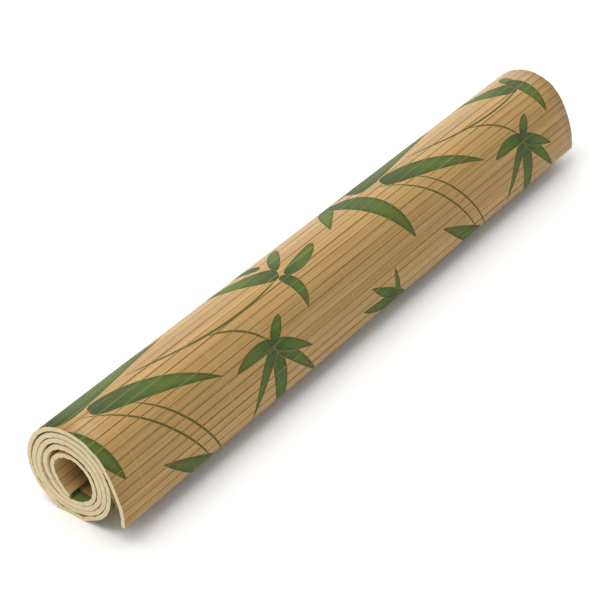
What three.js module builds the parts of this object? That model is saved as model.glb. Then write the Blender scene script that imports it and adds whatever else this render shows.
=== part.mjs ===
// Rolled bamboo placemat, in millimetres.
// A flat mat of thin bamboo slats is wound into a loose roll, and its outer edge hangs free as a flap.
// The roll lies along X with +Z up, and the flap hangs on the -Y side.
// The origin is the middle of the underside of the roll's box.

import * as THREE from "three";

// The mat. The slats lie along the roll, side by side, and each leaves a shallow groove to the next.
const slatLength = 300;
const slatPitch = 3.25;
const slatThickness = 1.65;
const grooveDepth = 0.35;
const grooveHalfWidth = 0.2;

// How the turns lie, as distances of the mat's middle from the middle of the hollow.
// Angles run from +Y over +Z, and a row stands for every twelfth of a turn from the mat's inner edge.
// "first" is the first turn's distance, and each later turn lies "apart" farther out in that direction.
const turnRows = [
  { toward: 288, first: 8.7, apart: 1.97 },
  { toward: 318, first: 8.3, apart: 2.5 },
  { toward: 348, first: 8.85, apart: 2.68 },
  { toward: 18, first: 9.75, apart: 2.5 },
  { toward: 48, first: 10.05, apart: 2.5 },
  { toward: 78, first: 9.75, apart: 2.58 },
  { toward: 108, first: 9.4, apart: 2.55 },
  { toward: 138, first: 9.2, apart: 2.4 },
  { toward: 168, first: 9.2, apart: 2.18 },
  { toward: 198, first: 9.5, apart: 2.04 },
  { toward: 228, first: 9.5, apart: 1.97 },
  { toward: 258, first: 9.55, apart: 1.93 },
];

// Where a turn stands farther out than its even place, so that a gap opens under it.
const looseRows = [
  { turn: 1, toward: 318, lift: 0.2 },
  { turn: 1, toward: 348, lift: 0.7 },
  { turn: 1, toward: 18, lift: 0.7 },
  { turn: 1, toward: 48, lift: 0.6 },
  { turn: 1, toward: 78, lift: 0.3 },
  { turn: 2, toward: 318, lift: 1.1 },
  { turn: 2, toward: 348, lift: 1.6 },
  { turn: 2, toward: 18, lift: 0.8 },
  { turn: 2, toward: 48, lift: 0.6 },
  { turn: 2, toward: 78, lift: 0.4 },
  { turn: 3, toward: 318, lift: 0.5 },
  { turn: 3, toward: 348, lift: 0.9 },
  { turn: 3, toward: 18, lift: 0.4 },
  { turn: 3, toward: 48, lift: 0.2 },
  { turn: 4, toward: 348, lift: 0.2 },
  { turn: 4, toward: 18, lift: 0.2 },
];

// The flap: where it leaves the roll and where it ends, in turns from the inner edge, and how far its
// tip stands off from the turn that it leaves.
const flapStart = 4.594;
const flapEnd = 4.769;
const flapLift = 5.9;

// The flat that the roll rests on is this many slats wide.
const restingSlats = 3;

// How finely the winding is drawn, and how finely its length is measured.
const samplesPerTurn = 48;
const lengthSteps = 1000;

// A turn's distance from the middle of the hollow at one of the rows, counted on from turn to turn.
function rowDistance(index) {
  const turn = Math.floor(index / turnRows.length);
  const row = turnRows[index - turn * turnRows.length];
  const loose = looseRows.find((spot) => spot.turn === turn && spot.toward === row.toward);
  return row.first + turn * row.apart + (loose ? loose.lift : 0);
}

// The distance at any place along the winding: a Catmull-Rom curve through the rows, plus the flap's lift.
function windingDistance(turns) {
  const place = turns * turnRows.length;
  const index = Math.floor(place);
  const t = place - index;
  const [before, from, to, after] = [-1, 0, 1, 2].map((step) => rowDistance(index + step));
  const slopeFrom = (to - before) / 2;
  const slopeTo = (after - from) / 2;
  const curved =
    from * (2 * t ** 3 - 3 * t ** 2 + 1) +
    slopeFrom * (t ** 3 - 2 * t ** 2 + t) +
    to * (3 * t ** 2 - 2 * t ** 3) +
    slopeTo * (t ** 3 - t ** 2);
  const alongFlap = Math.max(0, (turns - flapStart) / (flapEnd - flapStart));
  return curved + flapLift * alongFlap ** 2;
}

// The middle of the mat's thickness as a curve, from the inner edge out to the flap's tip.
function matMiddle() {
  const samples = Math.round(flapEnd * samplesPerTurn);
  const points = [];
  for (let k = 0; k <= samples; k++) {
    const turns = (flapEnd * k) / samples;
    const angle = THREE.MathUtils.degToRad(turnRows[0].toward + 360 * turns);
    const distance = windingDistance(turns);
    points.push(new THREE.Vector2(distance * Math.cos(angle), distance * Math.sin(angle)));
  }
  return new THREE.SplineCurve(points);
}

// The joints between the slats, evenly spaced along the mat. The lowest few are pressed to one level,
// around the side-to-side balance point of the roll, which is the mean place of all the joints.
function slatJoints() {
  const middle = matMiddle();
  middle.arcLengthDivisions = lengthSteps;
  const slats = Math.round(middle.getLength() / slatPitch);
  const joints = middle.getSpacedPoints(slats);
  const balance = joints.reduce((sum, joint) => sum + joint.x, 0) / joints.length;
  const lowest = Math.min(...joints.map((joint) => joint.y));
  const underside = joints.filter((joint) => joint.y < lowest + slatThickness);
  underside.sort((a, b) => Math.abs(a.x - balance) - Math.abs(b.x - balance));
  for (const joint of underside.slice(0, restingSlats + 1)) {
    joint.y = lowest;
  }
  return joints;
}

// The outline of the wound mat across the roll: every slat is a flat strip that lies along the line between
// its two joints, and the outline dips into a groove at each joint. Side is 1 for the face of the mat that
// looks out and -1 for the one that looks in, where each slat is narrower so that neighbours don't meet.
function matOutline(joints) {
  const half = slatThickness / 2;
  const slats = joints.slice(1).map((end, k) => {
    const along = end.clone().sub(joints[k]).normalize();
    return { along, out: new THREE.Vector2(along.y, -along.x) };
  });
  const faces = { outer: [], inner: [] };
  for (const [name, side] of [["outer", 1], ["inner", -1]]) {
    joints.forEach((joint, k) => {
      const before = slats[Math.max(k - 1, 0)];
      const after = slats[Math.min(k, slats.length - 1)];
      const bend = before.along.angleTo(after.along);
      const setBack = grooveHalfWidth + (side < 0 ? half * Math.tan(bend / 2) : 0);
      const out = before.out.clone().add(after.out).normalize();
      if (k > 0) {
        faces[name].push(joint.clone().addScaledVector(before.along, -setBack)
          .addScaledVector(before.out, side * half));
      }
      faces[name].push(joint.clone().addScaledVector(out, side * (half - grooveDepth)));
      if (k < slats.length) {
        faces[name].push(joint.clone().addScaledVector(after.along, setBack)
          .addScaledVector(after.out, side * half));
      }
    });
  }
  return [...faces.outer, ...faces.inner.reverse()];
}

// The outline carried along the roll. A shape's own axes become Y and Z, and its depth becomes X.
function woundMat() {
  const shape = new THREE.Shape(matOutline(slatJoints()));
  const geometry = new THREE.ExtrudeGeometry(shape, { depth: slatLength, steps: 1, bevelEnabled: false });
  geometry.applyMatrix4(new THREE.Matrix4().makeBasis(
    new THREE.Vector3(0, 1, 0),
    new THREE.Vector3(0, 0, 1),
    new THREE.Vector3(1, 0, 0),
  ));
  geometry.computeBoundingBox();
  const { min, max } = geometry.boundingBox;
  geometry.translate(-(min.x + max.x) / 2, -(min.y + max.y) / 2, -min.z);
  return geometry;
}

const bamboo = new THREE.MeshStandardMaterial({ color: "#c9a06a", roughness: 0.55, metalness: 0 });

const placemat = new THREE.Group();
const slatMat = new THREE.Mesh(woundMat(), bamboo);
slatMat.name = "slat_mat";
placemat.add(slatMat);

export default placemat;
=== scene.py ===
"""Looks of the rolled bamboo placemat: its slats with their leaf print, the rows of thread that hold the
slats together, and a studio. The file is laid out as a Blender add-on and is run as a script."""

import bpy
import numpy as np
from bpy.props import FloatProperty, FloatVectorProperty, IntProperty, PointerProperty
from bpy.types import Operator, Panel, PropertyGroup
from mathutils import Matrix, Vector


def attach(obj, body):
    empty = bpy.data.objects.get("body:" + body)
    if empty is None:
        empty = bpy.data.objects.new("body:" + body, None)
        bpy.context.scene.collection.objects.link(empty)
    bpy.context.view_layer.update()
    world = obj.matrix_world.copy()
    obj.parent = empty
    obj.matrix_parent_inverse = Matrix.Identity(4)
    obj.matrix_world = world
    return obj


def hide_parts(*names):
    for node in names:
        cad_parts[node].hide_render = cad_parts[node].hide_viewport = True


bl_info = {
    "name": "Rolled bamboo placemat",
    "version": (1, 0, 0),
    "blender": (4, 5, 0),
    "location": "3D View > Sidebar > Placemat",
    "description": "Builds a rolled bamboo placemat with a printed leaf pattern, and a studio for it",
    "category": "Object",
}

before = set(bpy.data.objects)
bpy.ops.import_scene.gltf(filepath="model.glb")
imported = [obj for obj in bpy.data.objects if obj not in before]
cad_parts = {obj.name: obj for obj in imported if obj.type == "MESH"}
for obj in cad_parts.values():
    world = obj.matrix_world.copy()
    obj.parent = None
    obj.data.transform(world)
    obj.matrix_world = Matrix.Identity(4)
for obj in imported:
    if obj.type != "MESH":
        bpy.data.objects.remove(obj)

MM = 0.001  # metres in a millimetre

# How the turns lie, in millimetres, as distances of the mat's middle from the middle of the hollow. Angles
# run from +Y over +Z in degrees, and a row stands for every twelfth of a turn from the mat's inner edge.
TURN_ROWS = np.array([
    # direction, the first turn's distance, how much farther out each later turn lies
    (288, 8.7, 1.97),
    (318, 8.3, 2.5),
    (348, 8.85, 2.68),
    (18, 9.75, 2.5),
    (48, 10.05, 2.5),
    (78, 9.75, 2.58),
    (108, 9.4, 2.55),
    (138, 9.2, 2.4),
    (168, 9.2, 2.18),
    (198, 9.5, 2.04),
    (228, 9.5, 1.97),
    (258, 9.55, 1.93),
])

# Where a turn stands farther out than its even place, so that a gap opens under it.
LOOSE_ROWS = (
    # turn, direction, lift
    (1, 318, 0.2),
    (1, 348, 0.7),
    (1, 18, 0.7),
    (1, 48, 0.6),
    (1, 78, 0.3),
    (2, 318, 1.1),
    (2, 348, 1.6),
    (2, 18, 0.8),
    (2, 48, 0.6),
    (2, 78, 0.4),
    (3, 318, 0.5),
    (3, 348, 0.9),
    (3, 18, 0.4),
    (3, 48, 0.2),
    (4, 348, 0.2),
    (4, 18, 0.2),
)

# The flap: where it leaves the roll and where it ends, in turns, and how far its tip stands off.
FLAP_START = 4.594
FLAP_END = 4.769
FLAP_LIFT = 5.9
RESTING_SLATS = 3  # the lowest slats, which lie level

# How uneven the slats are, in millimetres. A wave is its length along the slat and its height.
SIDE_WAVES = ((310, 0.02), (120, 0.015))  # a slat's place across the mat
RISE_WAVES = ((400, 0.015),)  # its height off the mat's middle
RISE_MOST = 0.03  # how high or low a whole slat stands
SHORT_MOST = 0.22  # how far a slat's end stops short
GAP_WAVES = ((190, 0.6), (70, 0.4))  # where a gap widens: heights are shares of what follows
GAP_MORE = 0.2  # how much wider it gets at most
STEADY_ENDS = 30  # the power that fades a slat's wandering and its gaps over its last 10 mm
SHORT_REACH = 8  # the power that keeps the drawing back of an end to its last few rings

# The leaf print, in millimetres on the mat laid flat: along the slats from the near ends, and up from the
# flap's tip. A leaf bows to its left, and its ends are from pointed (0) to blunt (1). A stem is a long, thin
# leaf of bluntness 1. Later leaves lie over earlier ones.
LEAVES = np.array([
    # base along, base up, tip along, tip up, half width, bow, bluntness
    # stems
    (8.0, 43.0, 49.0, -5.0, 0.45, 3.8, 1.0),
    (24.0, 37.0, 56.0, -9.0, 0.45, 3.6, 1.0),
    (34.0, 46.5, 113.0, 39.0, 0.5, -5.1, 1.0),
    (69.0, 37.5, 89.0, 22.0, 0.5, 2.3, 1.0),
    (128.0, 70.0, 173.0, 57.0, 0.5, -3.0, 1.0),
    (62.0, 72.0, 108.0, 64.0, 0.5, 3.0, 1.0),
    # the big spray at the near end
    (-5.0, 56.0, 66.0, 58.0, 4.6, 0.6, 0.2),
    (0.0, 49.5, 62.0, 52.5, 5.9, 1.6, 0.1),
    (12.0, 43.0, 63.5, 22.8, 4.2, 2.3, 0.0),
    (60.0, -11.0, 22.5, 12.0, 4.2, 0.0, 0.3),
    # the star
    (90.5, 20.0, 84.0, -8.0, 3.8, 0.3, 0.5),
    (90.0, 20.3, 69.3, 0.5, 2.4, -1.1, 0.0),
    (90.5, 20.0, 108.5, -0.5, 2.7, 0.3, 0.2),
    (90.0, 20.8, 108.5, 10.3, 2.6, 0.3, 0.2),
    (90.5, 21.3, 68.5, 20.7, 2.7, -1.1, 0.6),
    (90.0, 21.3, 99.0, 28.3, 2.5, 0.1, 0.6),
    # the curved leaves in the middle
    (167.0, 55.5, 148.0, 41.0, 3.4, -1.2, 0.4),
    (163.0, 52.5, 181.2, 17.3, 5.1, 1.8, 0.35),
    # the small spray at the flap
    (161.0, 4.0, 172.0, -8.0, 2.2, 0.0, 0.3),
    (161.5, 2.5, 139.5, 6.5, 2.5, 0.8, 0.2),
    (162.0, 3.5, 147.5, 12.6, 2.3, 0.6, 0.3),
    (163.0, 0.5, 163.8, 13.6, 1.8, 0.0, 0.3),
    (160.5, 3.5, 169.5, -1.0, 2.2, 0.0, 0.4),
    # the sprays behind the roll
    (62.0, 72.0, 91.0, 80.0, 3.6, 2.0, 0.1),
    (62.0, 72.0, 38.0, 65.0, 3.4, 1.5, 0.3),
    (62.0, 71.0, 78.0, 60.0, 3.0, -1.0, 0.4),
    (61.0, 72.0, 47.0, 83.0, 2.6, 1.0, 0.2),
    (128.0, 70.0, 104.0, 76.0, 3.0, -1.4, 0.2),
    (128.0, 70.0, 114.0, 83.0, 2.6, 0.8, 0.3),
    (128.0, 70.0, 132.0, 84.0, 3.0, 0.5, 0.5),
    (129.0, 70.0, 151.0, 79.0, 2.6, 1.0, 0.3),
    (129.0, 69.0, 150.0, 66.0, 3.0, -1.2, 0.2),
])

# The two sprays at the ends of the longest stems, which aren't alike. They repeat across the slats alone.
LONE_LEAVES = np.array([
    # beside the near star
    (113.0, 48.0, 105.0, 66.0, 3.2, 0.8, 0.6),
    (113.5, 40.0, 84.0, 62.0, 4.1, 1.6, 0.1),
    (112.5, 38.5, 113.0, 23.3, 3.0, 2.0, 0.4),
    (115.0, 38.0, 137.0, 41.5, 2.6, -1.0, 0.9),
    (114.0, 42.0, 127.8, 52.6, 2.6, 0.2, 0.9),
    # beside the far star
    (285.0, 42.5, 289.5, 51.0, 2.8, 0.0, 0.8),
    (284.5, 40.5, 256.0, 61.0, 4.2, 1.6, 0.1),
    (286.0, 46.0, 287.0, 24.0, 3.7, 0.8, 0.4),
])
PRINT_REPEAT = (175.0, 0.9)  # the print's step along the slats, which is a little out of square
PRINT_ROW = 85.0  # its step across them
PRINT_START = 0.9  # how far the first row reaches beyond the flap's tip
LAYERS = 6  # the most leaves that one face of a slat can show
NO_LEAF = (-1, 9, 0, 0)  # an empty layer: a place far off a leaf without bow or bluntness

# A leaf's outline: how far along it to one power, times what is left of it to another. Each power is that of
# a pointed leaf, and how much is added for a blunt one.
BASE_POWER, BLUNT_BASE = 0.28, 0.12
TIP_POWER, BLUNT_TIP = 0.95, -0.55
STEM_BLUNT = 0.95  # a leaf that is blunter than this is a stem
BEYOND_ENDS = 3.0  # how fast the depth falls beyond a leaf's ends, in half widths for its length

# The part of the mat, up from the flap's tip, that lies between other turns.
HIDDEN_FROM, HIDDEN_TO = 135, 366

# A row of two threads side by side, as its outline across.
STRANDS = np.array([
    # shares of the row's half width, shares of its height
    (-1.0, -0.5),
    (-0.72, 0.9),
    (-0.36, 1.0),
    (0.0, 0.35),
    (0.36, 1.0),
    (0.72, 0.9),
    (1.0, -0.5),
    (0.0, -0.7),
])

# How a row of thread passes a slat, and how it ends on the last one.
THREAD_STEPS = np.array([
    # place across the slat in widths, share of the dip into the joint
    (-0.5, 1.0),
    (-0.34, 0.0),
    (0.34, 0.0),
])
THREAD_END = (0.46, 0.6)
THREAD_DIP = 0.16  # how far a row dips into a joint, in millimetres

# The UV map that is laid out for baking the pieces' colours, in shares of its size.
BAKE_MAP = "OFBake"
BAKE_GAP = 0.0015  # left free round every strip
BAKE_ENDS = 0.016  # the band for the tubes' flat ends, in two rows
END_SHARE = 0.8  # how much of its own cell a flat end fills
HIDDEN_SHARE = 0.4  # how wide a hidden slat's strip is, against one that shows

# How finely the pieces are drawn.
WINDING_SAMPLES = 6000
STATIONS = 31  # rings along a slat
CORNER_TURNS = np.radians((0, 30, 60, 90))
EASE = 0.3  # how far from a rounded edge a face's own flat shading begins, in millimetres
CELL_PLACES = (8, 5)  # where a stretch of a slat is tried for leaves: places along it and across it
NEAR_LEAF = 0.25  # how near a leaf counts as shown, in half widths

# The studio, in metres, and the camera, fitted to the roll's outline.
FLOOR_HALF = 2.0
LAMPS = {
    # size, place
    "key": (0.9, Vector((-0.25, 0.3, 1.0))),
    "panel": (1.4, Vector((0.9, 0.95, 0.45))),
}
SENSOR = 36.0  # the camera sensor's width in millimetres
CAMERA_PLACE = Vector((-483.5, -336.7, 431.96)) * MM
CAMERA_FORWARD = Vector((0.6533, 0.4768, -0.5881))
CAMERA_UP = Vector((0.4751, 0.3467, 0.8088))


# Colours.


def linear(colour):
    """The linear colour of an sRGB hex value: the standard curve's inverse on each channel."""
    levels = [int(colour[k:k + 2], 16) / 255 for k in (1, 3, 5)]
    return tuple(v / 12.92 if v <= 0.04045 else ((v + 0.055) / 1.055) ** 2.4 for v in levels)


def shaded(colour, *shares):
    """A given colour with each channel times its share, for a material's input."""
    return (*(value * share for value, share in zip(colour, shares)), 1)


# The wound mat as lines across the roll.


def row_distance(index):
    """A turn's distance at a row: the first turn's, plus the turn's number times its spacing, plus its
    lift."""
    turn, row = np.divmod(index, len(TURN_ROWS))
    lifts = np.zeros((turn.max() + 2, len(TURN_ROWS)))
    for loose_turn, toward, lift in LOOSE_ROWS:
        lifts[loose_turn, TURN_ROWS[:, 0] == toward] = lift
    return TURN_ROWS[row, 1] + turn * TURN_ROWS[row, 2] + lifts[turn, row]


def winding_distance(turns):
    """The distance anywhere: a Catmull-Rom curve through the rows, plus the flap's lift times the square of
    the share of the flap that is passed."""
    place = turns * len(TURN_ROWS)
    index = np.floor(place).astype(int)
    t = place - index
    before, start, end, after = (row_distance(index + step) for step in (-1, 0, 1, 2))
    curved = (
        start * (2 * t**3 - 3 * t**2 + 1)
        + (end - before) / 2 * (t**3 - 2 * t**2 + t)
        + end * (3 * t**2 - 2 * t**3)
        + (after - start) / 2 * (t**3 - t**2)
    )
    along_flap = np.clip((turns - FLAP_START) / (FLAP_END - FLAP_START), 0, None)
    return curved + FLAP_LIFT * along_flap**2


def slat_joints(pitch, thickness):
    """Where the slats meet, as points across the roll: equal steps of about one pitch along the winding, from
    the inner edge out. The few lowest, nearest the mean place of all, are set to the lowest one's level."""
    turns = np.linspace(0, FLAP_END, WINDING_SAMPLES)
    angle = np.radians(TURN_ROWS[0, 0] + 360 * turns)
    line = winding_distance(turns)[:, None] * np.stack([np.cos(angle), np.sin(angle)], 1)
    length = np.concatenate([[0], np.cumsum(np.hypot(*np.diff(line, axis=0).T))])
    places = np.linspace(0, length[-1], round(length[-1] / pitch) + 1)
    joints = np.stack([np.interp(places, length, line[:, axis]) for axis in (0, 1)], 1)
    lowest = joints[:, 1].min()
    underside = np.flatnonzero(joints[:, 1] < lowest + thickness)
    underside = underside[np.argsort(abs(joints[underside, 0] - joints[:, 0].mean()))]
    joints[underside[:RESTING_SLATS + 1], 1] = lowest
    return joints


def wound_slats(pitch, thickness):
    """Each slat's middle, width, direction along the mat, outward direction and place on the flat mat, and
    how far its two sides lean with the bend: the tangent of half the angle to the next slat. The roll
    stands on the floor, with the middle of its width at 0."""
    joints = slat_joints(pitch, thickness)
    step = np.diff(joints, axis=0)
    width = np.hypot(*step.T)
    along = step / width[:, None]
    out = np.stack([along[:, 1], -along[:, 0]], 1)
    turn = along[:-1, 0] * along[1:, 1] - along[:-1, 1] * along[1:, 0]
    lean = np.concatenate([[0], np.tan(np.arcsin(turn) / 2), [0]])
    middle = (joints[1:] + joints[:-1]) / 2
    both = np.array([-1, 1])
    corners = middle[:, None] + both[None, :, None] * (width / 2)[:, None, None] * along[:, None]
    faces = corners[..., None, :] + both[:, None] * thickness / 2 * out[:, None, None]
    low, high = faces.reshape(-1, 2).min(0), faces.reshape(-1, 2).max(0)
    middle -= (low[0] + high[0]) / 2, low[1]
    ends = np.concatenate([[0], np.cumsum(width)])
    place = ends[-1] - (ends[1:] + ends[:-1]) / 2
    return {
        "middle": middle,
        "width": width,
        "along": along,
        "out": out,
        "lean": np.stack([lean[:-1], lean[1:]], 1),
        "place": place,
    }


# The print.


def placed_leaves(length):
    """Every leaf of the print on the flat mat: the tables' leaves, moved by whole steps across the slats, and
    the first table's along them too, until they cover the mat."""
    placed = []
    for leaves, columns in ((LEAVES, (-1, 0, 1)), (LONE_LEAVES, (0,))):
        column = np.array(columns)[None, :, None]
        row = np.arange(-1, int(length // PRINT_ROW) + 2)[None, None, :]
        moved = np.tile(leaves[:, None, None], (1, len(columns), row.size, 1))
        moved[..., [0, 2]] += (column * PRINT_REPEAT[0])[..., None]
        moved[..., [1, 3]] += (column * PRINT_REPEAT[1] + row * PRINT_ROW - PRINT_START)[..., None]
        placed.append(moved.reshape(-1, leaves.shape[1]))
    return np.concatenate(placed)


def leaf_powers(blunt):
    """The two powers of a leaf's outline: the first shapes its base and the second its tip."""
    return BASE_POWER + BLUNT_BASE * blunt, TIP_POWER + BLUNT_TIP * blunt


def leaf_units(leaf, x, s):
    """Places in a leaf's own units: how far along it, from 0 to 1, how far across it and how much it bows,
    in half widths, and its bluntness. The half width is divided by the outline's own peak, so that the
    shader's outline can leave that out."""
    base_x, base_s, tip_x, tip_s, half_width, bow, blunt = np.moveaxis(leaf, -1, 0)
    length = np.hypot(tip_x - base_x, tip_s - base_s)
    to_x, to_s = (tip_x - base_x) / length, (tip_s - base_s) / length
    first, last = leaf_powers(blunt)
    peak = (first / (first + last)) ** first * (last / (first + last)) ** last
    unit = half_width / peak
    along = ((x - base_x) * to_x + (s - base_s) * to_s) / length
    across = ((s - base_s) * to_x - (x - base_x) * to_s) / unit
    return along, across, bow / unit + 0 * along, blunt + 0 * along


def leaf_depth(leaf, x, s):
    """How far a place lies inside a leaf's outline, in half widths: along to the first power times what is
    left of it to the second, less the distance from the bowed middle, less a share of what it lies beyond
    the leaf's ends."""
    along, across, bow, blunt = leaf_units(leaf, x, s)
    first, last = leaf_powers(blunt)
    inside = np.clip(along, 0, 1)
    outline = inside**first * (1 - inside) ** last
    return outline - abs(across - 4 * bow * inside * (1 - inside)) - BEYOND_ENDS * abs(along - inside)


def leaves_by_cell(slats, stations, pitch):
    """For every stretch of every slat, the leaves that it shows, lowest first, or -1: those that a small grid
    of places on it comes into or nearly into."""
    leaves = placed_leaves(slats["width"].sum())
    found = np.full((len(slats["place"]), len(stations) - 1, LAYERS), -1)
    for number, leaf in enumerate(leaves):
        room = leaf[4] + abs(leaf[5]) + pitch
        low, high = np.minimum(leaf[:2], leaf[2:4]) - room, np.maximum(leaf[:2], leaf[2:4]) + room
        slat = np.flatnonzero((slats["place"] > low[1]) & (slats["place"] < high[1]))
        stretch = np.flatnonzero((stations[1:] > low[0]) & (stations[:-1] < high[0]))
        if len(slat) == 0 or len(stretch) == 0:
            continue
        x = np.linspace(stations[stretch], stations[stretch + 1], CELL_PLACES[0]).T[None, :, :, None]
        s = slats["place"][slat][:, None, None, None] + np.linspace(-0.5, 0.5, CELL_PLACES[1]) * pitch
        shown = leaf_depth(leaf, *np.broadcast_arrays(x, s)).max((2, 3)) > -NEAR_LEAF
        slat, stretch = slat[np.nonzero(shown)[0]], stretch[np.nonzero(shown)[1]]
        found[slat, stretch, :-1] = found[slat, stretch, 1:]
        found[slat, stretch, -1] = number
    return leaves, found


def print_leaves(mesh, leaves, wall_leaves, wall_places, bare_corners):
    """Gives each corner of each wall face its leaves, one attribute a layer: the place in the leaf's own
    units, with the leaf's bow and bluntness. The corners of the ends have none."""
    for layer in range(LAYERS):
        number = wall_leaves[:, layer]
        units = leaf_units(leaves[number][:, None], wall_places[..., 0], wall_places[..., 1])
        none = (number < 0)[:, None]
        values = np.stack([np.where(none, empty, unit) for empty, unit in zip(NO_LEAF, units)], -1)
        values = np.concatenate([values.reshape(-1, 4), np.tile(NO_LEAF, (bare_corners, 1))])
        attribute = mesh.attributes.new(f"leaf_{layer + 1}", "FLOAT_COLOR", "CORNER")
        attribute.data.foreach_set("color", values.astype(np.float32).ravel())


# Meshes.


def new_piece(name, points, face_groups, materials):
    """A mesh object from points in millimetres and groups of faces: the first, with the first material, is
    smooth, and a second one is flat."""
    corners = np.concatenate([faces.ravel() for faces in face_groups])
    sizes = np.concatenate([np.full(len(faces), faces.shape[1]) for faces in face_groups])
    group = np.repeat(np.arange(len(face_groups)), [len(faces) for faces in face_groups])
    mesh = bpy.data.meshes.new(name)
    mesh.vertices.add(len(points))
    mesh.loops.add(len(corners))
    mesh.polygons.add(len(sizes))
    mesh.vertices.foreach_set("co", (points * MM).astype(np.float32).ravel())
    mesh.loops.foreach_set("vertex_index", corners.astype(np.int32))
    mesh.polygons.foreach_set("loop_start", (np.cumsum(sizes) - sizes).astype(np.int32))
    mesh.polygons.foreach_set("material_index", np.minimum(group, len(materials) - 1).astype(np.int32))
    mesh.polygons.foreach_set("use_smooth", group == 0)
    mesh.update(calc_edges=True)
    if mesh.validate(verbose=True):
        raise RuntimeError(f"{name} has faces that Blender had to mend")
    for material in materials:
        mesh.materials.append(material)
    piece = bpy.data.objects.new(name, mesh)
    bpy.context.scene.collection.objects.link(piece)
    return piece


def tube_faces(tubes, stations, around):
    """The faces of closed tubes whose points come tube by tube, ring by ring: each joins two neighbours on a
    ring to the same two on the next."""
    tube, ring, side = np.meshgrid(
        np.arange(tubes) * stations * around,
        np.arange(stations - 1) * around,
        np.arange(around),
        indexing="ij",
    )
    here = tube + ring + side
    beside = tube + ring + (side + 1) % around
    return np.stack([here, beside, beside + around, here + around], -1).reshape(-1, 4)


def tube_ends(tubes, stations, around):
    """The two flat ends of each tube, the first turned round so that both face away."""
    first = np.arange(tubes)[:, None] * stations * around + np.arange(around)
    return np.concatenate([first[:, ::-1], first + (stations - 1) * around])


def bake_strips(mesh, profile, along, weights, columns):
    """Lays tubes out flat on the mesh's baking map: each tube is a strip, unrolled round its profile, and as
    wide as its weight. The strips are stacked in columns, and the flat ends stand in two rows above them."""
    tubes, sides = len(weights), len(profile)
    closed = np.concatenate([profile, profile[:1]])
    round_it = np.concatenate([[0], np.cumsum(np.hypot(*np.diff(closed, axis=0).T))])
    round_it /= round_it[-1]

    # The strips.
    start = np.cumsum(weights) - weights
    column = np.floor(columns * start / weights.sum()).astype(int)
    start -= np.array([start[column == number].min() for number in range(columns)])[column]
    scale = (1 - BAKE_ENDS) / (start + weights).max()
    ring = np.arange(len(along) - 1)[:, None] + (0, 0, 1, 1)
    side = np.arange(sides)[:, None] + (0, 1, 1, 0)
    u = column[:, None, None, None] + BAKE_GAP + (1 - 2 * BAKE_GAP) * along[ring][None, :, None]
    v = (weights * scale - BAKE_GAP)[:, None, None, None] * round_it[side]
    v = v + (start * scale)[:, None, None, None]
    strips = np.stack(np.broadcast_arrays(u / columns, v), -1).reshape(-1, 2)

    # The ends: the first ones are turned round, as their faces are.
    outline = (profile - profile.min(0)) / np.ptp(profile, axis=0) * END_SHARE + (1 - END_SHARE) / 2
    cells = np.repeat([outline[::-1], outline], tubes, axis=0)
    cells[..., 0] = (cells[..., 0] + np.tile(np.arange(tubes), 2)[:, None]) / tubes
    cells[..., 1] = 1 - BAKE_ENDS / 2 * (cells[..., 1] + np.repeat([0, 1], tubes)[:, None])
    places = np.concatenate([strips, cells.reshape(-1, 2)])
    layer = mesh.uv_layers.new(name=BAKE_MAP)
    layer.uv.foreach_set("vector", places.astype(np.float32).ravel())


def wander(rng, count, x, waves):
    """A gentle wave along each of many slats: for each wave's length and height, the height times the sine of
    the place over the length, begun at random."""
    total = np.zeros((count, len(x)))
    for length, height in waves:
        total += height * np.sin(2 * np.pi * (x / length + rng.random((count, 1))))
    return total


def slat_profile(half_thickness, radius):
    """A rounded rectangle's points, in the order that turns the faces outwards: which side each is nearest,
    how far in from that side it lies, and its level. A corner is a quarter circle of the radius."""
    quarter_side = radius * (1 - np.cos(CORNER_TURNS))
    quarter_face = radius * (1 - np.sin(CORNER_TURNS))
    side_in = np.concatenate([quarter_side, [radius + EASE]])
    face_in = np.concatenate([quarter_face, [0]])
    points = []
    for side, face, turned in ((1, 1, False), (-1, 1, True), (-1, -1, False), (1, -1, True)):
        order = slice(None, None, -1) if turned else slice(None)
        points += [(side, face, a, b) for a, b in zip(side_in[order], face_in[order])]
    side, face, side_in, face_in = np.array(points[::-1]).T
    return side, side_in, face * (half_thickness - face_in)


def uneven_rings(slats, profile, x, gap, rng):
    """Every slat's points, ring by ring: the place along the roll, the place across the mat from the slat's
    middle, and the level off the mat's middle. The profile's sides lean with the bend and wander, the gap
    between two slats widens here and there, and a slat stands a little high or low and stops a little
    short."""
    side, side_in, level = profile
    count = len(slats["width"])
    to_end = abs(x) / x.max()
    steady = 1 - to_end**STEADY_ENDS
    shift = steady * wander(rng, count, x, SIDE_WAVES)
    widened = GAP_MORE * np.clip(wander(rng, count, x, GAP_WAVES), 0, None) ** 2
    open_gap = steady * (widened + gap)
    lean = np.where(side > 0, slats["lean"][:, 1:], slats["lean"][:, :1])
    reach = slats["width"][:, None] / 2 + level * lean - side_in
    across = side * (reach[:, None, :] - open_gap[:, :, None] / 2) + shift[:, :, None]
    rise = rng.uniform(-RISE_MOST, RISE_MOST, (count, 1)) + wander(rng, count, x, RISE_WAVES)
    raised = np.broadcast_to(level, across.shape) + rise[:, :, None]
    short = rng.uniform(-SHORT_MOST, 0, (2, count))
    pulled = np.where(x < 0, -short[0][:, None], short[1][:, None]) * to_end**SHORT_REACH
    along = np.broadcast_to((x + pulled)[:, :, None], across.shape)
    return along, across, raised


def in_space(slats, slat, x, across, level):
    """Points in space from places on the wound mat, where the first axis of each array runs over the given
    slats: the slat's middle, plus the place across it along its direction, plus the level outwards."""
    spread = (slice(None), *(None,) * (across.ndim - 1))
    middle, along, out = (slats[name][slat][spread] for name in ("middle", "along", "out"))
    return np.concatenate([x[..., None], middle + across[..., None] * along + level[..., None] * out], -1)


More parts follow.
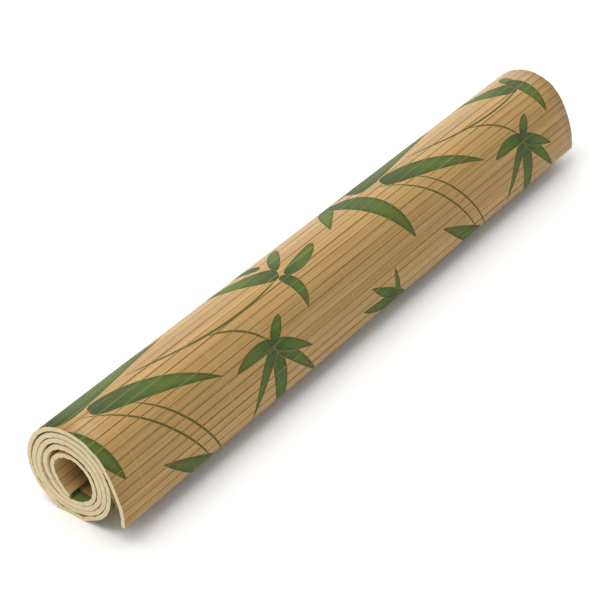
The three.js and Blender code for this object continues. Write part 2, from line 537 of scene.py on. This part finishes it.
# What a user can change.


class SlatProperties(PropertyGroup):
    """Sizes and colours of the bamboo slats."""

    length: FloatProperty(
        name="Slat length", description="Length of the slats", default=0.3, unit="LENGTH"
    )
    pitch: FloatProperty(
        name="Slat pitch", description="Distance from slat to slat", default=0.00325, unit="LENGTH",
        precision=5,
    )
    thickness: FloatProperty(
        name="Slat thickness", description="Thickness of a slat", default=0.00165, unit="LENGTH", precision=5
    )
    gap: FloatProperty(
        name="Gap", description="Gap between two slats", default=0.00004, unit="LENGTH", precision=5
    )
    rounding: FloatProperty(
        name="Rounding", description="Radius of a slat's long edges", default=0.0002, unit="LENGTH",
        precision=5,
    )
    wood: FloatVectorProperty(
        name="Bamboo", description="Colour of a middling slat", subtype="COLOR", default=linear("#b99657")
    )
    end_grain: FloatVectorProperty(
        name="Sawn end", description="Colour of the sawn ends", subtype="COLOR", default=linear("#decda4")
    )
    leaf: FloatVectorProperty(
        name="Leaf green", description="Colour of the print", subtype="COLOR", default=linear("#476a2c")
    )
    seed: IntProperty(name="Seed", description="Which set of uneven slats is made", default=7)


class ThreadProperties(PropertyGroup):
    """Sizes and colour of the rows of thread."""

    first: FloatProperty(
        name="First row", description="Distance of the first row from the ends", default=0.0124, unit="LENGTH"
    )
    spacing: FloatProperty(
        name="Row spacing", description="Distance from row to row", default=0.0248, unit="LENGTH", precision=5
    )
    rows: IntProperty(name="Rows", description="How many rows there are", default=12)
    width: FloatProperty(
        name="Row width", description="Width of the two threads of a row", default=0.0005, unit="LENGTH",
        precision=5,
    )
    height: FloatProperty(
        name="Row height", description="How far a thread stands off a slat", default=0.00007, unit="LENGTH",
        precision=5,
    )
    colour: FloatVectorProperty(
        name="Thread", description="Colour of the thread", subtype="COLOR", default=linear("#bf9f6c")
    )


class StudioProperties(PropertyGroup):
    """Light, floor and camera."""

    floor: FloatVectorProperty(
        name="Floor", description="Colour of the floor", subtype="COLOR", default=linear("#fbfbfa")
    )
    key: FloatProperty(name="Key light", description="Power of the light above", default=9.0, unit="POWER")
    panel: FloatProperty(
        name="Back panel", description="Power of the light behind", default=9.0, unit="POWER"
    )
    fill: FloatProperty(name="Fill light", description="Strength of the light all round", default=0.55)
    lens: FloatProperty(name="Lens", description="Focal length in millimetres", default=111.7)


# Materials.


def add(tree, kind, feeds=None, **settings):
    """Adds a node, with its settings and with what feeds its inputs: a value, a socket, or a node, whose
    first output is meant. An input goes by its name or its number. A Map Range takes the range of its
    inputs 1 and 2, and gives that of its inputs 3 and 4, which are 0 and 1 unless they are set."""
    node = tree.nodes.new(kind)
    for name, value in settings.items():
        setattr(node, name, value)
    inputs = [socket for socket in node.inputs if socket.enabled]
    by_name = {socket.name: socket for socket in reversed(inputs)}
    for key, value in (feeds or {}).items():
        socket = inputs[key] if isinstance(key, int) else by_name[key]
        if isinstance(value, bpy.types.Node):
            value = next(output for output in value.outputs if output.enabled)
        if isinstance(value, bpy.types.NodeSocket):
            tree.links.new(value, socket)
        else:
            socket.default_value = value
    return node


def mixed(tree, share, under, over):
    """Adds a mix of two colours: the share of the second that lies over the first."""
    return add(tree, "ShaderNodeMix", {"Factor": share, "A": under, "B": over}, data_type="RGBA")


def new_material(name):
    """An empty node material and its tree."""
    material = bpy.data.materials.new(name)
    material.use_nodes = True
    material.node_tree.nodes.clear()
    return material, material.node_tree


def leaf_layer_group(leaf):
    """One layer of the print: takes the colour and the amount of ink so far and adds its leaf to both. The
    leaf's outline is the one of leaf_depth. The ink is thinner round it where it lies over another leaf."""
    tree = bpy.data.node_groups.new("leaf layer", "ShaderNodeTree")
    for name, kind in (("Ink", "Color"), ("Amount", "Float"), ("Place", "Vector"), ("Blunt", "Float")):
        tree.interface.new_socket(name, in_out="INPUT", socket_type=f"NodeSocket{kind}")
    for name, kind in (("Ink", "Color"), ("Amount", "Float")):
        tree.interface.new_socket(name, in_out="OUTPUT", socket_type=f"NodeSocket{kind}")
    given = add(tree, "NodeGroupInput").outputs
    place = add(tree, "ShaderNodeSeparateXYZ", {0: given["Place"]}).outputs
    along = add(tree, "ShaderNodeClamp", {0: place[0]})
    left = add(tree, "ShaderNodeMath", {0: 1.0, 1: along}, operation="SUBTRACT")
    first = add(tree, "ShaderNodeMath", {
        0: given["Blunt"], 1: BLUNT_BASE, 2: BASE_POWER,
    }, operation="MULTIPLY_ADD")
    last = add(tree, "ShaderNodeMath", {
        0: given["Blunt"], 1: BLUNT_TIP, 2: TIP_POWER,
    }, operation="MULTIPLY_ADD")
    base = add(tree, "ShaderNodeMath", {0: along, 1: first}, operation="POWER")
    tip = add(tree, "ShaderNodeMath", {0: left, 1: last}, operation="POWER")
    outline = add(tree, "ShaderNodeMath", {0: base, 1: tip}, operation="MULTIPLY")
    arch = add(tree, "ShaderNodeMath", {0: along, 1: left}, operation="MULTIPLY")
    bow = add(tree, "ShaderNodeMath", {0: place[2], 1: 4.0}, operation="MULTIPLY")
    middle = add(tree, "ShaderNodeMath", {0: bow, 1: arch}, operation="MULTIPLY")
    across = add(tree, "ShaderNodeMath", {0: place[1], 1: middle}, operation="SUBTRACT")
    away = add(tree, "ShaderNodeMath", {0: across}, operation="ABSOLUTE")
    within = add(tree, "ShaderNodeMath", {0: outline, 1: away}, operation="SUBTRACT")
    passed = add(tree, "ShaderNodeMath", {0: along, 1: place[0]}, operation="SUBTRACT")
    beyond = add(tree, "ShaderNodeMath", {0: passed}, operation="ABSOLUTE")
    depth = add(tree, "ShaderNodeMath", {0: beyond, 1: -BEYOND_ENDS, 2: within}, operation="MULTIPLY_ADD")

    # Inside the outline lies the leaf's ink, and close round it the ink of the leaves below is thinner.
    mask = add(tree, "ShaderNodeMapRange", {0: depth, 1: 0.0, 2: 0.04}, interpolation_type="SMOOTHSTEP")
    bare = add(tree, "ShaderNodeMapRange", {0: depth, 1: -0.14, 2: -0.04}, interpolation_type="SMOOTHSTEP")

    # The print is dark and bluish at a leaf's base, a plain green in its middle, olive at its tip, and
    # darker at its rim. Stems are brown.
    shades = add(tree, "ShaderNodeValToRGB", {0: along})
    shades.color_ramp.elements[0].color = shaded(leaf, 0.25, 0.38, 0.85)
    shades.color_ramp.elements[1].color = shaded(leaf, 1.6, 0.85, 1.0)
    shades.color_ramp.elements.new(0.5).color = shaded(leaf, 1.05, 0.95, 1.05)
    rim = add(tree, "ShaderNodeMapRange", {0: depth, 1: 0.04, 2: 0.26, 3: 0.7, 4: 0.0})
    rimmed = mixed(tree, rim, shades, shaded(leaf, 0.3, 0.35, 0.4))
    stem = add(tree, "ShaderNodeMath", {0: given["Blunt"], 1: STEM_BLUNT}, operation="GREATER_THAN")
    shade = mixed(tree, stem, rimmed, shaded(leaf, 1.1, 0.5, 0.6))
    ink = mixed(tree, mask, given["Ink"], shade)
    lift = add(tree, "ShaderNodeMath", {0: bare, 1: -0.2, 2: 1.0}, operation="MULTIPLY_ADD")
    kept = add(tree, "ShaderNodeMath", {0: given["Amount"], 1: lift}, operation="MULTIPLY")
    amount = add(tree, "ShaderNodeMath", {0: kept, 1: mask}, operation="MAXIMUM")
    add(tree, "NodeGroupOutput", {"Ink": ink, "Amount": amount})
    return tree


def leaf_print(tree, leaf):
    """The ink's colour and amount from all the layers, lowest first."""
    group = bpy.data.node_groups.get("leaf layer") or leaf_layer_group(leaf)
    ink, amount = (*leaf, 1), 0.0
    for layer in range(LAYERS):
        place = add(tree, "ShaderNodeAttribute", attribute_name=f"leaf_{layer + 1}").outputs
        inked = add(tree, "ShaderNodeGroup", {
            "Ink": ink, "Amount": amount, "Place": place["Vector"], "Blunt": place["Alpha"],
        }, node_tree=group).outputs
        ink, amount = inked["Ink"], inked["Amount"]
    return ink, amount


def split_bamboo(wood, end_grain, leaf, length):
    """Split bamboo, planed into slats and printed: straight silky fibres along the slat, no two slats quite
    the same tan, a satin finish, brown sides where the slats rub, and soft brown lines along some joints."""
    material, tree = new_material("split bamboo, printed")

    # The place on the flat mat in millimetres, with the level from -1 to 1, and the slat's three random
    # tones, with the place across it from -1 to 1.
    place = add(tree, "ShaderNodeAttribute", attribute_name="mat_place")
    parts = add(tree, "ShaderNodeSeparateXYZ", {0: place.outputs["Vector"]}).outputs
    tone = add(tree, "ShaderNodeAttribute", attribute_name="slat_tone")
    tones = add(tree, "ShaderNodeSeparateXYZ", {0: tone.outputs["Vector"]}).outputs

    # Fibres: about 0.25 mm across and 25 mm long. Each slat starts elsewhere in the noise.
    along = add(tree, "ShaderNodeMath", {0: parts[0], 1: 1 / 25}, operation="MULTIPLY")
    across = add(tree, "ShaderNodeMath", {0: parts[1], 1: 1 / 0.25}, operation="MULTIPLY")
    start = add(tree, "ShaderNodeMath", {0: tones[2], 1: 40.0}, operation="MULTIPLY")
    fibre_place = add(tree, "ShaderNodeCombineXYZ", {0: along, 1: across, 2: start})
    fibres = add(tree, "ShaderNodeTexNoise", {
        "Vector": fibre_place, "Scale": 1.0, "Detail": 4.0, "Roughness": 0.6,
    })

    # Streaks: about 0.8 mm across and 80 mm long, as their places are the fibres' times 0.3.
    streak_place = add(tree, "ShaderNodeVectorMath", {
        0: fibre_place, 1: (0.3, 0.3, 1.0),
    }, operation="MULTIPLY")
    streaks = add(tree, "ShaderNodeTexNoise", {"Vector": streak_place, "Scale": 1.0, "Detail": 3.0})

    # Colour: the slat's own tone, then streaks, then fibres.
    pale = mixed(tree, tones[0], shaded(wood, 0.84, 0.81, 0.77), shaded(wood, 1.16, 1.2, 1.28))
    warm = add(tree, "ShaderNodeMath", {0: tones[1], 1: 0.5}, operation="MULTIPLY")
    toned = mixed(tree, warm, pale, shaded(wood, 1.08, 0.94, 1.05))
    streak_mask = add(tree, "ShaderNodeMapRange", {0: streaks, 1: 0.42, 2: 0.62, 3: 0.0, 4: 0.5})
    streaked = mixed(tree, streak_mask, toned, shaded(wood, 0.6, 0.54, 0.46))
    fibre_mask = add(tree, "ShaderNodeMapRange", {0: fibres, 1: 0.45, 2: 0.75, 3: 0.0, 4: 0.35})
    grained = mixed(tree, fibre_mask, streaked, shaded(wood, 0.5, 0.43, 0.36))

    # Joint lines: a soft brown line, up to 0.3 mm wide, along stretches of the slats' edges of about 80 mm.
    edge = add(tree, "ShaderNodeMath", {0: tone.outputs["Alpha"]}, operation="ABSOLUTE")
    stretch_place = add(tree, "ShaderNodeVectorMath", {
        0: fibre_place, 1: (0.3, 0.02, 1.0),
    }, operation="MULTIPLY")
    stretch = add(tree, "ShaderNodeTexNoise", {"Vector": stretch_place, "Scale": 1.0, "Detail": 1.0})
    reach = add(tree, "ShaderNodeMapRange", {0: stretch, 1: 0.44, 2: 0.66, 3: 0.99, 4: 0.8})
    line = add(tree, "ShaderNodeMapRange", {0: edge, 1: reach, 2: 1.0, 3: 0.0, 4: 0.9})
    lined = mixed(tree, line, grained, shaded(wood, 0.45, 0.34, 0.21))

    # The print stays on the faces of the slats, is thin at the edges of some, and is worn a little along
    # the fibres. The wood that shows through it is a little greener.
    ink, amount = leaf_print(tree, leaf)
    level = add(tree, "ShaderNodeMath", {0: parts[2]}, operation="ABSOLUTE")
    on_face = add(tree, "ShaderNodeMapRange", {0: level, 1: 0.6, 2: 0.9})
    thin_edge = add(tree, "ShaderNodeMapRange", {0: edge, 1: 0.87, 2: 0.95})
    thin_slat = add(tree, "ShaderNodeMapRange", {0: tones[1], 1: 0.2, 2: 0.8, 3: 0.0, 4: -0.55})
    edge_ink = add(tree, "ShaderNodeMath", {0: thin_edge, 1: thin_slat, 2: 1.0}, operation="MULTIPLY_ADD")
    wear = add(tree, "ShaderNodeMapRange", {0: fibres, 1: 0.3, 2: 0.7, 3: 0.98, 4: 0.85})
    face_ink = add(tree, "ShaderNodeMath", {0: amount, 1: on_face}, operation="MULTIPLY")
    held_ink = add(tree, "ShaderNodeMath", {0: face_ink, 1: edge_ink}, operation="MULTIPLY")
    covered = add(tree, "ShaderNodeMath", {0: held_ink, 1: wear}, operation="MULTIPLY")
    plain = mixed(tree, amount, lined, shaded(wood, 0.9, 1.1, 1.15))
    printed = mixed(tree, covered, plain, ink)

    # The sides of the slats are brown. Sides and hidden faces are cream for the last 2 mm, where sawing
    # cleans them.
    middle = add(tree, "ShaderNodeMath", {0: parts[0], 1: length / 2}, operation="SUBTRACT")
    from_middle = add(tree, "ShaderNodeMath", {0: middle}, operation="ABSOLUTE")
    at_end = add(tree, "ShaderNodeMapRange", {0: from_middle, 1: length / 2 - 2, 2: length / 2 - 0.5})
    side = add(tree, "ShaderNodeMapRange", {0: level, 1: 0.5, 2: 0.75, 3: 0.85, 4: 0.0})
    sided = mixed(tree, side, printed, shaded(wood, 0.42, 0.32, 0.2))
    hidden = add(tree, "ShaderNodeMath", {
        0: parts[1], 1: (HIDDEN_FROM + HIDDEN_TO) / 2, 2: (HIDDEN_TO - HIDDEN_FROM) / 2,
    }, operation="COMPARE")
    clean_faces = add(tree, "ShaderNodeMath", {0: side, 1: hidden}, operation="MAXIMUM")
    cleaned = add(tree, "ShaderNodeMath", {0: clean_faces, 1: at_end}, operation="MULTIPLY")
    colour = mixed(tree, cleaned, sided, (*end_grain, 1))

    # The bare wood has a satin finish and the ink a matte one.
    satin = add(tree, "ShaderNodeMapRange", {0: fibres, 1: 0.3, 2: 0.7, 3: 0.4, 4: 0.52})
    roughness = add(tree, "ShaderNodeMath", {0: covered, 1: 0.2, 2: satin}, operation="MULTIPLY_ADD")
    gloss = add(tree, "ShaderNodeMath", {0: covered, 1: -0.3, 2: 0.42}, operation="MULTIPLY_ADD")
    bump = add(tree, "ShaderNodeBump", {"Strength": 0.35, "Distance": 0.00004, "Height": fibres})
    shader = add(tree, "ShaderNodeBsdfPrincipled", {
        "Base Color": colour, "Roughness": roughness, "IOR": 1.5, "Specular IOR Level": gloss, "Normal": bump,
    })
    add(tree, "ShaderNodeOutputMaterial", {0: shader})
    return material


def sawn_bamboo(end_grain):
    """Bamboo sawn across: cream, matte, with the fine brown dots of its fibre bundles, about 0.4 mm apart,
    and slightly darker patches, about 4 mm across."""
    material, tree = new_material("bamboo, sawn across")
    place = add(tree, "ShaderNodeTexCoord").outputs["Object"]
    dots = add(tree, "ShaderNodeTexVoronoi", {"Vector": place, "Scale": 1000 / 0.38})
    dot = add(tree, "ShaderNodeMapRange", {0: dots, 1: 0.1, 2: 0.35, 3: 0.35, 4: 0.0})
    patches = add(tree, "ShaderNodeTexNoise", {"Vector": place, "Scale": 1000 / 4.0, "Detail": 3.0})
    patch = add(tree, "ShaderNodeMapRange", {0: patches, 1: 0.35, 2: 0.7, 3: 0.0, 4: 0.35})
    mottled = mixed(tree, patch, (*end_grain, 1), shaded(end_grain, 0.78, 0.68, 0.55))
    colour = mixed(tree, dot, mottled, shaded(end_grain, 0.48, 0.35, 0.2))
    bump = add(tree, "ShaderNodeBump", {"Strength": 0.3, "Distance": 0.00004, "Height": patches})
    shader = add(tree, "ShaderNodeBsdfPrincipled", {
        "Base Color": colour, "Roughness": 0.75, "IOR": 1.5, "Normal": bump,
    })
    add(tree, "ShaderNodeOutputMaterial", {0: shader})
    return material


def cotton_thread(colour, leaf):
    """Cotton thread, twisted and pressed onto the slats: pale and matte, uneven over about 0.6 mm as its
    fuzz is, and the print runs over it more faintly."""
    material, tree = new_material("cotton thread, twisted")
    place = add(tree, "ShaderNodeTexCoord").outputs["Object"]
    fuzz = add(tree, "ShaderNodeTexNoise", {"Vector": place, "Scale": 1000 / 0.6, "Detail": 3.0})
    shade = add(tree, "ShaderNodeMapRange", {0: fuzz, 1: 0.35, 2: 0.7, 3: 0.0, 4: 0.5})
    plain = mixed(tree, shade, (*colour, 1), shaded(colour, 0.78, 0.7, 0.6))
    ink, amount = leaf_print(tree, leaf)
    faint = add(tree, "ShaderNodeMath", {0: amount, 1: 0.85}, operation="MULTIPLY")
    printed = mixed(tree, faint, plain, ink)
    bump = add(tree, "ShaderNodeBump", {"Strength": 0.4, "Distance": 0.00005, "Height": fuzz})
    shader = add(tree, "ShaderNodeBsdfPrincipled", {
        "Base Color": printed, "Roughness": 0.85, "IOR": 1.5, "Normal": bump,
    })
    add(tree, "ShaderNodeOutputMaterial", {0: shader})
    return material


# Operators.


class PLACEMAT_OT_slats(Operator):
    """Build the wound slats with their leaf print"""

    bl_idname = "placemat.slats"
    bl_label = "Build slats"

    def execute(self, context):
        sizes = context.scene.placemat_slats
        pitch, thickness, length = sizes.pitch / MM, sizes.thickness / MM, sizes.length / MM
        slats = wound_slats(pitch, thickness)
        count = len(slats["width"])
        rng = np.random.default_rng(sizes.seed)
        stations = np.linspace(-length / 2, length / 2, STATIONS)
        side, side_in, level = slat_profile(thickness / 2, sizes.rounding / MM)
        around = len(side)
        x, lateral, raised = uneven_rings(slats, (side, side_in, level), stations, sizes.gap / MM, rng)
        points = in_space(slats, np.arange(count), x, lateral, raised).reshape(-1, 3)

        printed = split_bamboo(sizes.wood, sizes.end_grain, sizes.leaf, length)
        sawn = sawn_bamboo(sizes.end_grain)
        walls = tube_faces(count, STATIONS, around)
        caps = tube_ends(count, STATIONS, around)
        piece = new_piece("bamboo_slats", points, [walls, caps], [printed, sawn])

        # Where each point lies on the flat mat, and each slat's own tone with the place across the slat.
        on_mat = np.stack([
            x + length / 2,
            slats["place"][:, None, None] - lateral,
            np.broadcast_to(level / (thickness / 2), lateral.shape),
        ], -1).reshape(-1, 3)
        across_slat = (lateral / slats["width"][:, None, None] * 2).reshape(-1, 1)
        tone = np.repeat(rng.random((count, 3)), STATIONS * around, axis=0)
        for name, kind, field, values in (
            ("mat_place", "FLOAT_VECTOR", "vector", on_mat),
            ("slat_tone", "FLOAT_COLOR", "color", np.concatenate([tone, across_slat], 1)),
        ):
            attribute = piece.data.attributes.new(name, kind, "POINT")
            attribute.data.foreach_set(field, values.astype(np.float32).ravel())
        leaves, found = leaves_by_cell(slats, stations + length / 2, pitch)
        wall_leaves = np.repeat(found.reshape(-1, LAYERS), around, axis=0)
        print_leaves(piece.data, leaves, wall_leaves, on_mat[walls], caps.size)

        profile = np.stack([side * (pitch / 2 - side_in), level], 1)
        hidden = (slats["place"] > HIDDEN_FROM) & (slats["place"] < HIDDEN_TO)
        weights = np.where(hidden, HIDDEN_SHARE, 1.0)
        bake_strips(piece.data, profile, np.linspace(0, 1, STATIONS), weights, columns=2)
        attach(piece, "root")
        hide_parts("slat_mat")
        return {"FINISHED"}


class PLACEMAT_OT_threads(Operator):
    """Build the rows of thread across the slats"""

    bl_idname = "placemat.threads"
    bl_label = "Build threads"

    def execute(self, context):
        sizes = context.scene.placemat_threads
        mat = context.scene.placemat_slats
        pitch, thickness, length = mat.pitch / MM, mat.thickness / MM, mat.length / MM
        slats = wound_slats(pitch, thickness)
        count = len(slats["width"])

        # A row lies over each slat and dips into each joint, on both faces of the mat.
        step, dip = np.concatenate([np.tile(THREAD_STEPS, (count, 1)), [THREAD_END]]).T
        slat = np.append(np.repeat(np.arange(count), len(THREAD_STEPS)), count - 1)
        strand_x, strand_up = STRANDS[:, 0] * (sizes.width / MM / 2), STRANDS[:, 1] * (sizes.height / MM)
        row_x = sizes.first / MM + sizes.spacing / MM * np.arange(sizes.rows)
        rings, around = len(slat), len(STRANDS)
        lateral = np.broadcast_to((step * slats["width"][slat])[:, None], (rings, around))
        up_mat = slats["place"][slat][:, None] - lateral
        points, places = [], []
        for face in (1, -1):
            level = (thickness / 2 - THREAD_DIP * dip[:, None] + strand_up) * face
            for start in row_x:
                x = np.broadcast_to(start + strand_x * face, (rings, around))
                points.append(in_space(slats, slat, x - length / 2, lateral, level))
                places.append(np.stack([x, up_mat], -1))
        tubes = len(points)
        walls = tube_faces(tubes, rings, around)
        caps = tube_ends(tubes, rings, around)
        thread = cotton_thread(sizes.colour, mat.leaf)
        piece = new_piece("thread_rows", np.stack(points).reshape(-1, 3), [walls, caps], [thread])

        # The leaves that each face of a row shows are those of the stretch of slat that it crosses.
        stations = np.linspace(0, length, STATIONS)
        leaves, found = leaves_by_cell(slats, stations, pitch)
        stretch = np.clip(np.searchsorted(stations, row_x) - 1, 0, STATIONS - 2)
        face_slat = np.tile(np.repeat(slat[:-1], around), tubes)
        face_stretch = np.repeat(np.tile(stretch, 2), (rings - 1) * around)
        on_mat = np.stack(places).reshape(-1, 2)
        print_leaves(piece.data, leaves, found[face_slat, face_stretch], on_mat[walls], caps.size)
        profile = np.stack([strand_x, strand_up], 1)
        bake_strips(piece.data, profile, np.linspace(0, 1, rings), np.ones(tubes), columns=1)
        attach(piece, "root")
        return {"FINISHED"}


class PLACEMAT_OT_studio(Operator):
    """Build the floor, the lights and the camera"""

    bl_idname = "placemat.studio"
    bl_label = "Build studio"

    def execute(self, context):
        sizes = context.scene.placemat_studio
        scene = context.scene

        # A plain pale floor.
        corners = [(x * FLOOR_HALF, y * FLOOR_HALF, 0) for x, y in ((-1, -1), (1, -1), (1, 1), (-1, 1))]
        mesh = bpy.data.meshes.new("floor")
        mesh.from_pydata(corners, [], [(0, 1, 2, 3)])
        material, tree = new_material("matte white board")
        shader = add(tree, "ShaderNodeBsdfPrincipled", {"Base Color": (*sizes.floor, 1), "Roughness": 0.9})
        add(tree, "ShaderNodeOutputMaterial", {0: shader})
        mesh.materials.append(material)
        floor = bpy.data.objects.new("floor", mesh)
        scene.collection.objects.link(floor)

        # Soft light from above and from behind, and even light all round.
        for name, power in (("key", sizes.key), ("panel", sizes.panel)):
            size, place = LAMPS[name]
            light = bpy.data.lights.new(name, "AREA")
            light.energy = power
            light.size = size
            lamp = bpy.data.objects.new(name, light)
            lamp.matrix_world = Matrix.Translation(place) @ place.to_track_quat("Z", "Y").to_matrix().to_4x4()
            scene.collection.objects.link(lamp)
        world = bpy.data.worlds.new("studio")
        world.use_nodes = True
        world.node_tree.nodes.clear()
        sky = add(world.node_tree, "ShaderNodeBackground", {0: (1, 1, 1, 1), 1: sizes.fill})
        add(world.node_tree, "ShaderNodeOutputWorld", {0: sky})
        scene.world = world
        scene.view_settings.view_transform = "Standard"

        # The camera looks at the roll's near end from above.
        axes = (CAMERA_FORWARD.cross(CAMERA_UP), CAMERA_UP, -CAMERA_FORWARD)
        turn = Matrix(axes).transposed().to_4x4()
        camera = bpy.data.cameras.new("camera")
        camera.lens = sizes.lens
        camera.sensor_width = SENSOR
        holder = bpy.data.objects.new("camera", camera)
        holder.matrix_world = Matrix.Translation(CAMERA_PLACE) @ turn
        scene.collection.objects.link(holder)
        scene.camera = holder
        return {"FINISHED"}


class PLACEMAT_PT_panel(Panel):
    """Lists the placemat's operators"""

    bl_idname = "PLACEMAT_PT_panel"
    bl_label = "Rolled placemat"
    bl_space_type = "VIEW_3D"
    bl_region_type = "UI"
    bl_category = "Placemat"

    def draw(self, context):
        for holder, operator in (
            (context.scene.placemat_slats, PLACEMAT_OT_slats),
            (context.scene.placemat_threads, PLACEMAT_OT_threads),
            (context.scene.placemat_studio, PLACEMAT_OT_studio),
        ):
            box = self.layout.box()
            for name in holder.__annotations__:
                box.prop(holder, name)
            box.operator(operator.bl_idname)


CLASSES = (
    SlatProperties,
    ThreadProperties,
    StudioProperties,
    PLACEMAT_OT_slats,
    PLACEMAT_OT_threads,
    PLACEMAT_OT_studio,
    PLACEMAT_PT_panel,
)
HOLDERS = {
    "placemat_slats": SlatProperties,
    "placemat_threads": ThreadProperties,
    "placemat_studio": StudioProperties,
}


def register():
    """Registers the classes and hangs their values on the scene."""
    for each in CLASSES:
        bpy.utils.register_class(each)
    for name, kind in HOLDERS.items():
        setattr(bpy.types.Scene, name, PointerProperty(type=kind))


def unregister():
    """Takes back what register did."""
    for name in HOLDERS:
        delattr(bpy.types.Scene, name)
    for each in reversed(CLASSES):
        bpy.utils.unregister_class(each)


def main():
    """Builds the whole scene."""
    register()
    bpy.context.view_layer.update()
    bpy.ops.placemat.slats()
    bpy.ops.placemat.threads()
    bpy.ops.placemat.studio()


if __name__ == "__main__":
    main()
